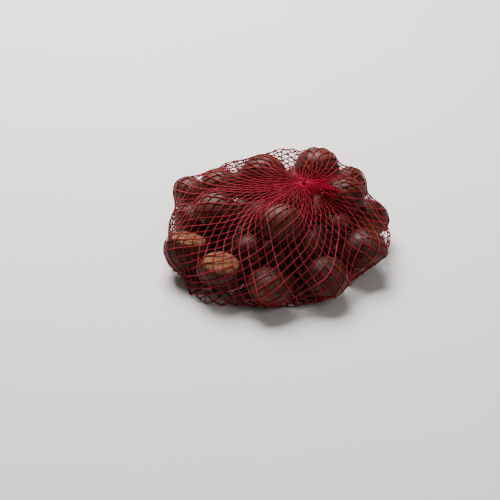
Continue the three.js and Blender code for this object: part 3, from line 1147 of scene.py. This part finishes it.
@dataclass(frozen=True)
class YarnFinish:
    """Crimson two-ply yarn of matt plastic fibre, of a purer red where it is gathered.

    A grain is the scale, the detail and the roughness of a noise.
    """

    crown: Triple
    deep: Triple = (0.065, 0.001, 0.005)
    plain: Triple = (0.21, 0.009, 0.017)
    # Lightest, pinker tone, partly a painted highlight that stands in for the yarn's pink sheen
    light: Triple = (0.45, 0.055, 0.080)
    crown_deep: Triple = (0.055, 0.0, 0.003)
    crown_plain: Triple = (0.195, 0.0, 0.010)
    crown_light: Triple = (0.46, 0.002, 0.032)
    tones: Triple = (0.12, 0.50, 0.92)
    near_mm: float = 10
    far_mm: float = 55
    twist_pitch_mm: float = 1.5
    plies: float = 2.0
    fibre_grain: Triple = (1800.0, 3.0, 0.6)
    patch_grain: Span = (60.0, 2.0)
    ply_painted_light: float = 0.35
    fibre_tone: float = 0.30
    patch_tone: float = 0.30
    strand_tone: Span = (-0.22, 0.24)
    fibre_middle: Span = (0.3, 0.7)
    roughness: Span = (0.42, 0.60)
    ply_height: float = 0.8
    fibre_height: float = 0.3
    relief_mm: float = 0.12
    specular: float = 0.05

    def material(self) -> bpy.types.Material:
        """Builds the material.

        Returns:
            The material, which reads the attributes yarn_place and yarn_tone.
        """
        w = Wiring("crimson_yarn")
        x, y, along = w.parts(w.attribute("yarn_place", "Vector"))
        around = w.math("ARCTAN2", y, x)
        phase = w.weigh((around, self.plies), (along, 2 * math.pi / self.twist_pitch_mm))
        ply = w.span(w.math("SINE", phase), -1, 1)
        place = w.object_place()
        fibre = w.noise(place, *self.fibre_grain)
        patch = w.noise(place, *self.patch_grain)
        # The ply wave draws the yarn lighter on the crests of its plies and darker in the grooves: painted
        # highlight and shade, in step with the ply bump
        tone = w.weigh((ply, self.ply_painted_light), (fibre, self.fibre_tone), (patch, self.patch_tone))
        tone = w.math("ADD", tone, w.span(w.attribute("yarn_tone", "Fac"), 0, 1, *self.strand_tone))
        body = w.ramp(tone, self.tones, (self.deep, self.plain, self.light))
        gathered = w.ramp(tone, self.tones, (self.crown_deep, self.crown_plain, self.crown_light))
        reach = w.length(w.vector("SUBTRACT", place, self.crown))
        near = w.span(reach, self.near_mm * MM, self.far_mm * MM, 1.0, 0.0)
        height = w.weigh((ply, self.ply_height), (fibre, self.fibre_height))
        w.surface(Base_Color=w.mix(near, body, gathered),
                  Roughness=w.span(fibre, *self.fibre_middle, *self.roughness),
                  Normal=w.bump(height, self.relief_mm * MM))
        w.set(Specular_IOR_Level=self.specular)
        return w.material


@dataclass(frozen=True)
class ShellFinish:
    """Dark glossy shell with fine streaks from base to tip, and the matt pale scar at the base.

    Places and lengths on the nut are shares of half its width. A grain is the scale, the detail and
    the roughness of a noise, and a relief is its depth in metres and its strength.
    """

    dark: Triple = (0.016, 0.0038, 0.0020)
    brown: Triple = (0.046, 0.0112, 0.0048)
    warm: Triple = (0.112, 0.030, 0.0115)
    shell_tones: Triple = (0.36, 0.56, 0.80)
    nut_tone: Span = (-0.12, 0.12)
    nut_shift: float = 37.0
    streaks: float = 9.0
    streak_pace: float = 0.9
    broad_grain: Triple = (1.0, 3.0, 0.55)
    fine_grain: Triple = (4.0, 4.0, 0.6)
    patch_grain: Span = (1.6, 2.0)
    broad_tone: float = 0.5
    fine_tone: float = 0.3
    patch_tone: float = 0.35
    down: Triple = (0.085, 0.045, 0.028)
    down_from: Span = (0.45, 0.98)
    down_share: float = 0.36
    scar_dark: Triple = (0.130, 0.050, 0.023)
    scar_light: Triple = (0.305, 0.130, 0.064)
    scar_tones: Span = (0.35, 0.62)
    scar_halves: Span = (0.80, 0.62)
    scar_wobble: float = 0.10
    wobble_grain: Span = (5.0, 3.0)
    scar_edge: Span = (0.90, 0.97)
    scar_height: Span = (-0.60, -0.52)
    scar_grain: Triple = (14.0, 4.0, 0.65)
    scar_dots: Span = (48.0, 2.0)
    grain_tone: float = 0.7
    dots_tone: float = 0.3
    rim: Triple = (0.016, 0.007, 0.004)
    rim_edge: Span = (0.97, 1.12)
    rim_share: float = 0.55
    noise_middle: Span = (0.3, 0.7)
    roughness: Span = (0.41, 0.56)
    scar_roughness: float = 0.42
    streak_relief: Span = (0.00008, 0.8)
    scar_relief: Span = (0.0006, 0.8)
    edge_relief: Span = (0.0003, 0.7)
    specular: float = 0.18

    def streak_place(self, w: Wiring, spot: Socket, shift: Socket) -> Socket:
        """Place for the streaks' noise, drawn out along the nut.

        Args:
            w: The material.
            spot: Place on the nut.
            shift: The nut's own shift.

        Returns:
            The place.
        """
        x, y, z = w.parts(spot)
        heading_x, heading_y, _ = w.parts(w.vector("NORMALIZE", w.combine(x, y, 0.0)))
        across = w.math("ADD", w.math("MULTIPLY", heading_x, self.streaks), shift)
        return w.combine(across, w.math("MULTIPLY", heading_y, self.streaks),
                         w.math("MULTIPLY", z, self.streak_pace))

    def scar_shares(self, w: Wiring, spot: Socket) -> tuple[Socket, Socket]:
        """Where the scar and its dark rim are: an uneven oval low on the nut.

        Args:
            w: The material.
            spot: Place on the nut.

        Returns:
            The share of the scar and that of the rim.
        """
        x, y, z = w.parts(spot)
        half_x, half_y = self.scar_halves
        radius = w.math("SQRT", w.math("ADD", w.math("POWER", w.math("DIVIDE", x, half_x), 2.0),
                                       w.math("POWER", w.math("DIVIDE", y, half_y), 2.0)))
        wobble = w.span(w.noise(spot, *self.wobble_grain), *self.noise_middle,
                        -self.scar_wobble, self.scar_wobble)
        radius = w.math("ADD", radius, wobble)
        low = w.span(z, *self.scar_height, 1.0, 0.0)
        scar = w.math("MULTIPLY", w.span(radius, *self.scar_edge, 1.0, 0.0), low)
        return scar, w.math("MULTIPLY", w.span(radius, *self.rim_edge, 1.0, 0.0), low)

    def material(self) -> bpy.types.Material:
        """Builds the material.

        Returns:
            The material, which reads the attributes nut_place and nut_tone.
        """
        w = Wiring("chestnut_shell")
        spot = w.attribute("nut_place", "Vector")
        tone = w.attribute("nut_tone", "Fac")
        shift = w.math("MULTIPLY", tone, self.nut_shift)
        streak_place = self.streak_place(w, spot, shift)
        broad = w.noise(streak_place, *self.broad_grain)
        fine = w.noise(streak_place, *self.fine_grain)
        patch = w.noise(w.vector("ADD", spot, w.combine(shift, shift, 0.0)), *self.patch_grain)
        value = w.weigh((broad, self.broad_tone), (fine, self.fine_tone), (patch, self.patch_tone))
        value = w.math("ADD", value, w.span(tone, 0, 1, *self.nut_tone))
        shell = w.ramp(value, self.shell_tones, (self.dark, self.brown, self.warm))
        downy = w.span(w.parts(spot)[2], *self.down_from)
        shell = w.mix(w.math("MULTIPLY", downy, self.down_share), shell, self.down)
        scar, rim = self.scar_shares(w, spot)
        grain = w.noise(spot, *self.scar_grain)
        dots = w.noise(spot, *self.scar_dots)
        scar_tone = w.weigh((grain, self.grain_tone), (dots, self.dots_tone))
        scar_colour = w.ramp(scar_tone, self.scar_tones, (self.scar_dark, self.scar_light))
        shell = w.mix(w.math("MULTIPLY", rim, self.rim_share), shell, self.rim)
        gloss = w.span(patch, *self.noise_middle, *self.roughness)
        streaked = w.bump(fine, *self.streak_relief)
        scarred = w.bump(w.math("MULTIPLY", scar_tone, scar), *self.scar_relief, streaked)
        w.surface(Base_Color=w.mix(scar, shell, scar_colour),
                  Roughness=w.math("ADD", gloss, w.math("MULTIPLY", scar, self.scar_roughness)),
                  Normal=w.bump(w.math("MULTIPLY", scar, -1.0), *self.edge_relief, scarred))
        w.set(Specular_IOR_Level=self.specular)
        return w.material


@dataclass(frozen=True)
class FloorFinish:
    """Plain pale floor with a faint grain."""

    colour: Triple = (0.78, 0.76, 0.73)
    shade: float = 0.96
    grain: Span = (14.0, 2.0)
    roughness: float = 0.8

    def material(self) -> bpy.types.Material:
        """Builds the material.

        Returns:
            The material.
        """
        w = Wiring("pale_floor")
        grain = w.noise(w.object_place(), *self.grain)
        shaded = tuple(self.shade * part for part in self.colour)
        w.surface(Base_Color=w.mix(grain, shaded, self.colour))
        w.set(Roughness=self.roughness)
        return w.material


@dataclass(frozen=True)
class Lamp:
    """A soft square lamp: its place and the length of its side in metres, its power in watts."""

    name: str
    at: Triple
    side: float
    power: float

    def hang(self, aim: Triple) -> None:
        """Hangs the lamp.

        Args:
            aim: Place that it faces, in metres.
        """
        light = bpy.data.lights.new(self.name, "AREA")
        light.shape = "SQUARE"
        light.size = self.side
        light.energy = self.power
        lamp = bpy.data.objects.new(self.name, light)
        lamp.location = self.at
        lamp.rotation_euler = (Vector(aim) - Vector(self.at)).to_track_quat("-Z", "Y").to_euler()
        bpy.context.scene.collection.objects.link(lamp)


@dataclass(frozen=True)
class Studio:
    """Floor, soft lights, and the camera at the photograph's view.

    The camera's place is in the layout's millimetres and its angles are in degrees.
    """

    middle: Span
    camera_at: Triple = (-38, -940, 703.6)
    heading: float = 1.093
    drop: float = 36.54
    roll: float = 1.83
    focal_px: float = 1666
    frame_px: float = 500
    sensor: float = 36
    clip: Span = (0.05, 20)
    floor_reach: float = 3.0
    lamps: tuple[Lamp, ...] = (
        Lamp("back_lamp", (-0.20, 0.60, 0.90), 0.7, 35.0),
        Lamp("side_lamp", (0.8, -0.5, 0.9), 0.6, 3.0),
    )
    lamp_aim: Triple = (0, 0, 0.03)
    soft_light: Triple = (1.0, 0.97, 0.94)
    soft_strength: float = 0.14

    def floor(self) -> None:
        """Lays the floor."""
        shaper = bmesh.new()
        bmesh.ops.create_grid(shaper, x_segments=1, y_segments=1, size=self.floor_reach)
        mesh = bpy.data.meshes.new("studio_floor")
        shaper.to_mesh(mesh)
        shaper.free()
        new_object("studio_floor", mesh, FloorFinish().material())

    def lights(self) -> None:
        """Hangs the lamps and sets the soft light all round."""
        for lamp in self.lamps:
            lamp.hang(self.lamp_aim)
        world = bpy.data.worlds.new("studio_world")
        world.use_nodes = True
        background = world.node_tree.nodes["Background"]
        background.inputs["Color"].default_value = (*self.soft_light, 1.0)
        background.inputs["Strength"].default_value = self.soft_strength
        bpy.context.scene.world = world

    def camera(self) -> None:
        """Places the camera."""
        heading, drop, roll = (math.radians(a) for a in (self.heading, self.drop, self.roll))
        level = Vector((math.sin(heading), math.cos(heading), 0))
        ahead = level * math.cos(drop) - Vector((0, 0, math.sin(drop)))
        right = Vector((math.cos(heading), -math.sin(heading), 0))
        up = right.cross(ahead)
        turned_right = right * math.cos(roll) + up * math.sin(roll)
        turned_up = turned_right.cross(ahead)
        turn = Matrix((turned_right, turned_up, -ahead)).transposed().to_4x4()
        lens = bpy.data.cameras.new("photo_camera")
        lens.sensor_width = self.sensor
        lens.lens = self.focal_px / self.frame_px * self.sensor
        lens.clip_start, lens.clip_end = self.clip
        camera = bpy.data.objects.new("photo_camera", lens)
        place = Vector(self.camera_at) - Vector((*self.middle, 0))
        camera.matrix_world = Matrix.Translation(place * MM) @ turn
        bpy.context.scene.collection.objects.link(camera)
        bpy.context.scene.camera = camera


def main() -> None:
    """Builds the bag piece by piece and reports each one."""
    logging.basicConfig(level=logging.INFO, format="%(name)s: %(message)s")
    layout = NutLayout()
    lattice = NetLattice(layout)
    middle = lattice.middle()
    LOG.info("net of %d rows, middle at %.2f, %.2f mm", lattice.row_count, middle[0], middle[1])
    studio = Studio((float(middle[0]), float(middle[1])))
    studio.camera()
    studio.lights()
    studio.floor()
    crown = to_frame(np.array(lattice.crown, float), middle)
    yarn = YarnFinish(tuple(crown)).material()
    shell = ShellFinish().material()
    for piece in Net(lattice).build(yarn):
        declare(piece, "net")
    declare(Tail(lattice).build(yarn), "net")
    nuts = Chestnuts(middle)
    declare(nuts.build("chestnuts_upper_layer", layout.layer(upper=True), shell), "shell")
    declare(nuts.build("chestnuts_floor_layer", layout.layer(upper=False), shell), "shell")
    # The undersized nuts are dark fillers, a painted shade that hides the pale floor in the gaps
    small = Chestnuts(middle, segments=40, rings=26)
    declare(small.build("chestnuts_shade_filler", layout.shade_filler_nuts, shell), "shell")


if __name__ == "__main__":
    main()
